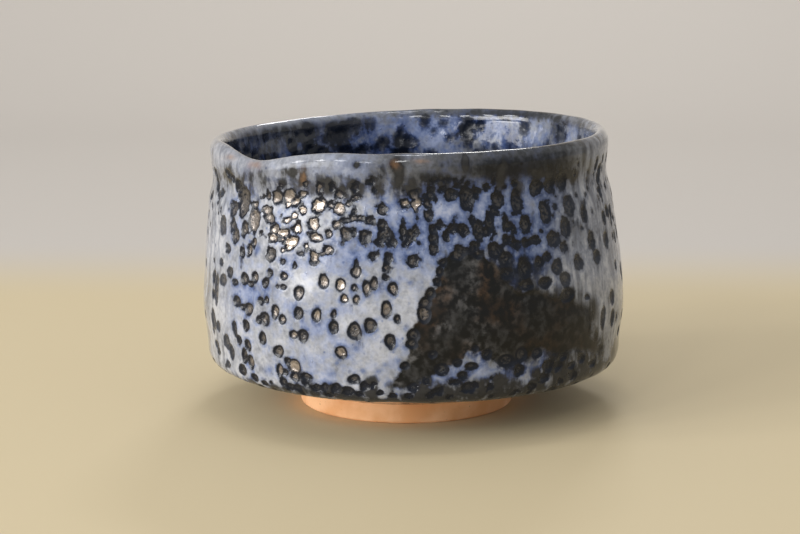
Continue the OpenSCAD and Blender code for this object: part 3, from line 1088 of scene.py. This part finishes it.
def glaze_outside():
    rng = np.random.default_rng(OUTSIDE_SEED)
    coat = Coat("glaze_outside", coat_loop(AT_LINE, AT_LIP, OUTSIDE_STEP), TURN_STEPS, TURN_CUTS)
    line_wave = LINE_WAVE * fade_out(coat.along, AT_LINE, LINE_FADE_W)
    coat.along += line_wave * np.sin(LINE_WAVES * coat.angle)
    pits = pits_as_seen(coat, PITS_APART, rng, APART_SWELL)
    pits += pits_as_seen(coat, PITS_CROWDED, rng, CROWDED_SWELL)
    pits += pits_as_seen(coat, PITS_JOINED, rng, JOINED_SWELL, JOINED_DULLEST)
    pits += pits_scattered(rng, OUTSIDE_TRIES, OUTSIDE_STRETCH, outside_density, OUTSIDE_PITS, pits)
    pits += pits_scattered(rng, SMALL_TRIES, OUTSIDE_STRETCH, small_density, SMALL_PITS, pits)
    pit, tone, dent = pit_field(coat, pits)
    window = outline_field(coat, WINDOW_SEEN)
    mark_glaze(coat, pit, tone, window)
    relief = slow_waves(coat.smooth, rng, UNEVEN_W, UNEVEN_H) + FACE_LEVEL - dent
    relief += PIT_RIDGE_H * np.exp(-(((pit - PIT_RIDGE_AT) / PIT_RIDGE_W) ** 2))
    relief = np.minimum(relief, HIGHEST) - WINDOW_DEPTH * ease(WINDOW_SLOPE_AT - window / WINDOW_SLOPE_W)
    relief = np.maximum(level_at_lip(coat, relief), LOWEST)
    piece = coat.lay(relief, glaze_finish("pitted_glaze", OUTSIDE_IOR))
    join_to_bowl(piece, "pale_glaze", "outer_glaze", "iron_slip")
    return pits


def glaze_lip(pits):
    """The lip's glaze, which the pits of the coats beside it reach into."""
    rng = np.random.default_rng(LIP_SEED)
    coat = Coat("glaze_lip", coat_loop(AT_LIP, AT_INSIDE, LIP_STEP), TURN_STEPS, TURN_CUTS)
    pit, tone, _ = pit_field(coat, [p for p in pits if AT_LIP - FAR < p.along < AT_INSIDE + FAR])
    mark_glaze(coat, pit, tone, np.full(len(pit), FAR))
    relief = slow_waves(coat.smooth, rng, UNEVEN_W, LIP_UNEVEN_H) + LIP_LEVEL
    piece = coat.lay(level_at_lip(coat, relief), glaze_finish("lip_glaze", LIP_IOR))
    join_to_bowl(piece, "lip_glaze", "lip_glaze")


def glaze_inside():
    rng = np.random.default_rng(INSIDE_SEED)
    coat = Coat("glaze_inside", coat_loop(AT_INSIDE, AT_MIDDLE, INSIDE_STEP), TURN_STEPS, TURN_CUTS)
    pits = pits_as_seen(coat, PITS_INSIDE, rng)
    pits += pits_scattered(rng, INSIDE_TRIES, INSIDE_STRETCH, inside_density, INSIDE_PITS, pits)
    pit, tone, dent = pit_field(coat, pits)
    mark_glaze(coat, pit, tone, np.full(len(pit), FAR))
    relief = slow_waves(coat.smooth, rng, UNEVEN_W, UNEVEN_H) + FACE_LEVEL - dent
    piece = coat.lay(level_at_lip(coat, relief), glaze_finish("inside_glaze", INSIDE_IOR))
    join_to_bowl(piece, "inner_glaze", "inner_glaze")
    return pits


def clay_body():
    rng = np.random.default_rng(CLAY_SEED)
    under = [(s, 0.0) for s in rows(0, AT_LINE, OUTSIDE_STEP)]
    hidden = [(s, COAT_T) for s in rows(AT_LINE, AT_MIDDLE, BACK_STEP)]
    coat = Coat("clay_body_bare", under + hidden, CLAY_STEPS, 0)
    relief = slow_waves(coat.smooth, rng, CLAY_UNEVEN_W, CLAY_UNEVEN_H)
    relief += TURNING_H * np.sin(coat.along * TURNING_RATE)
    piece = coat.lay(relief, clay_finish("bare_clay"))
    join_to_bowl(piece, "bare_clay", "clay_body")


def smooth_piece(bm, name, finish):
    """A smooth piece of what was built, in one finish."""
    bmesh.ops.recalc_face_normals(bm, faces=bm.faces)
    for face in bm.faces:
        face.smooth = True
    mesh = bpy.data.meshes.new(name)
    bm.to_mesh(mesh)
    bm.free()
    mesh.materials.append(finish)
    return put_in_scene(name, mesh)


def clay_foot():
    """Foot ring: a turned ring with rounded resting edges."""
    inner_r = FOOT_R - FOOT_W
    bm = bmesh.new()
    profile = []
    a = np.linspace(0, math.pi / 2, FOOT_ROUND_STEPS)
    for turn, x in ((math.pi, inner_r + FOOT_ROUND), (1.5 * math.pi, FOOT_R - FOOT_ROUND)):
        profile += [(x + FOOT_ROUND * math.cos(turn + k), FOOT_ROUND * (1 + math.sin(turn + k))) for k in a]
    side = np.linspace(FOOT_ROUND, FOOT_H, FOOT_SIDE_STEPS)[1:]
    profile += [(FOOT_R, z) for z in side]
    profile += [(inner_r - FOOT_DRAFT * (z - FOOT_ROUND) / (FOOT_H - FOOT_ROUND), z) for z in side[::-1]]
    ring = [bm.verts.new((r * MM, 0, z * MM)) for r, z in profile]
    edges = [bm.edges.new(p) for p in zip(ring, ring[1:] + ring[:1])]
    spin_round(bm, ring, edges, CLAY_STEPS)
    bmesh.ops.translate(bm, verts=bm.verts, vec=(-FOOT_OFF * MM, 0, 0))
    piece = smooth_piece(bm, "clay_foot", clay_finish("bare_clay_foot"))
    join_to_bowl(piece, "bare_clay", "foot_ring")


# Stage, lamps and camera

FLOOR_COLOUR = paint(210, 194, 159)
WALL_COLOUR = paint(201, 195, 188)


def stage():
    """A plain floor that bends up into a plain wall."""
    front = -1.2
    back = 1.1
    bend_r = 0.5
    top = 1.6
    half_w = 2.2
    bend_steps = 17
    wall_comes_in = (0.14, 0.26)
    bm = bmesh.new()
    profile = [(front, 0.0), (back - bend_r, 0.0)]
    a = np.linspace(0, math.pi / 2, bend_steps)[1:]
    profile += [(back - bend_r + bend_r * math.sin(k), bend_r * (1 - math.cos(k))) for k in a]
    profile.append((back, top))
    ring = [bm.verts.new((-half_w, y, z)) for y, z in profile]
    edges = [bm.edges.new(p) for p in zip(ring, ring[1:])]
    made = bmesh.ops.extrude_edge_only(bm, edges=edges)
    moved = [v for v in made["geom"] if isinstance(v, bmesh.types.BMVert)]
    bmesh.ops.translate(bm, verts=moved, vec=(2 * half_w, 0, 0))
    f = Finish("stage")
    deep = f.node("ShaderNodeSeparateXYZ", {}, {0: f.place}, out="Y")
    f.show(base_color=f.mix(f.step(deep, *wall_comes_in), FLOOR_COLOUR, WALL_COLOUR), roughness=0.7)
    smooth_piece(bm, "stage", f.material)


def lamp(name, place, aim, size, power, colour, spread=180):
    data = bpy.data.lights.new(name, "AREA")
    data.shape = "RECTANGLE"
    data.size, data.size_y = size
    data.energy = power
    data.color = colour
    data.spread = math.radians(spread)
    made = put_in_scene(name, data)
    made.location = place
    made.rotation_mode = "QUATERNION"
    made.rotation_quaternion = (Vector(aim) - Vector(place)).to_track_quat("-Z", "Y")


# Lamps, in metres, watts and degrees
PANES = 5
PANE_TURNS = (-74, -6)
PANE_AWAY = 1.2
PANE_HEIGHT = 0.68
ROOM_LIGHT = 0.52
WHITE = (1.0, 1.0, 1.0)
WARM = (1.0, 0.98, 0.95)


def lamps():
    lamp(
        "window_lamp", place=(-1.41, -0.72, 0.335), aim=(0, 0, 0.04), size=(1.2, 0.62), power=5.4,
        colour=WARM, spread=90,
    )
    for i, turn in enumerate(np.radians(np.linspace(*PANE_TURNS, PANES))):
        place = (PANE_AWAY * math.sin(turn), -PANE_AWAY * math.cos(turn), PANE_HEIGHT)
        lamp(f"pane_lamp_{i + 1}", place, aim=(0, 0, 0.05), size=(0.16, 0.18), power=1.3, colour=WHITE)
    over_lip = (0, 0, 0.08)
    lamp("top_lamp", place=(0.0, 0.06, 1.3), aim=over_lip, size=(0.3, 0.1), power=1.6, colour=WHITE)
    lamp("back_lamp", place=(0.15, 0.93, 0.82), aim=over_lip, size=(0.25, 0.12), power=2.0, colour=WHITE)
    world = bpy.data.worlds.new("room")
    world.use_nodes = True
    background = world.node_tree.nodes["Background"]
    background.inputs["Color"].default_value = (*WHITE, 1.0)
    background.inputs["Strength"].default_value = ROOM_LIGHT
    bpy.context.scene.world = world


def camera():
    data = bpy.data.cameras.new("camera")
    data.sensor_width = SENSOR_W
    data.lens = FOCAL_PX * SENSOR_W / PHOTO_W
    data.clip_start = 0.01
    data.clip_end = 20.0
    made = put_in_scene("camera", data)
    made.location = CAMERA_AT * MM
    made.rotation_euler = (math.pi / 2 - CAMERA_PITCH, 0, CAMERA_YAW)
    bpy.context.scene.camera = made


camera()
glaze_lip(glaze_outside() + glaze_inside())
clay_body()
clay_foot()
stage()
lamps()
bpy.context.scene.view_settings.view_transform = "Standard"
